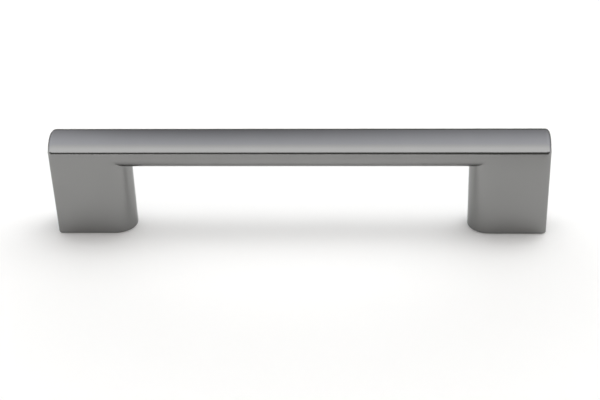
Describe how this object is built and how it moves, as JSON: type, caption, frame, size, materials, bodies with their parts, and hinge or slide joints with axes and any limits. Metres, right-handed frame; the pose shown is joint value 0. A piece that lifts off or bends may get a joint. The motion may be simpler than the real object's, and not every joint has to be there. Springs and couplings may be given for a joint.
{
  "type": "staple handle",
  "caption": "One-piece cast metal pull for a drawer or cabinet door: crowned grip bar on D-shaped legs with tapped screw holes.",
  "frame": {"origin": "on the mounting plane under the middle of the grip, midway between the two screw holes", "axes": "+X along the grip, +Y from front to back, +Z away from the door or drawer front"},
  "size_m": [0.1524, 0.013, 0.0326],
  "materials": {
    "satin_metal": "satin grey plated zinc casting"
  },
  "bodies": {
    "root": {"handle": "satin_metal"}
  },
  "joints": []
}
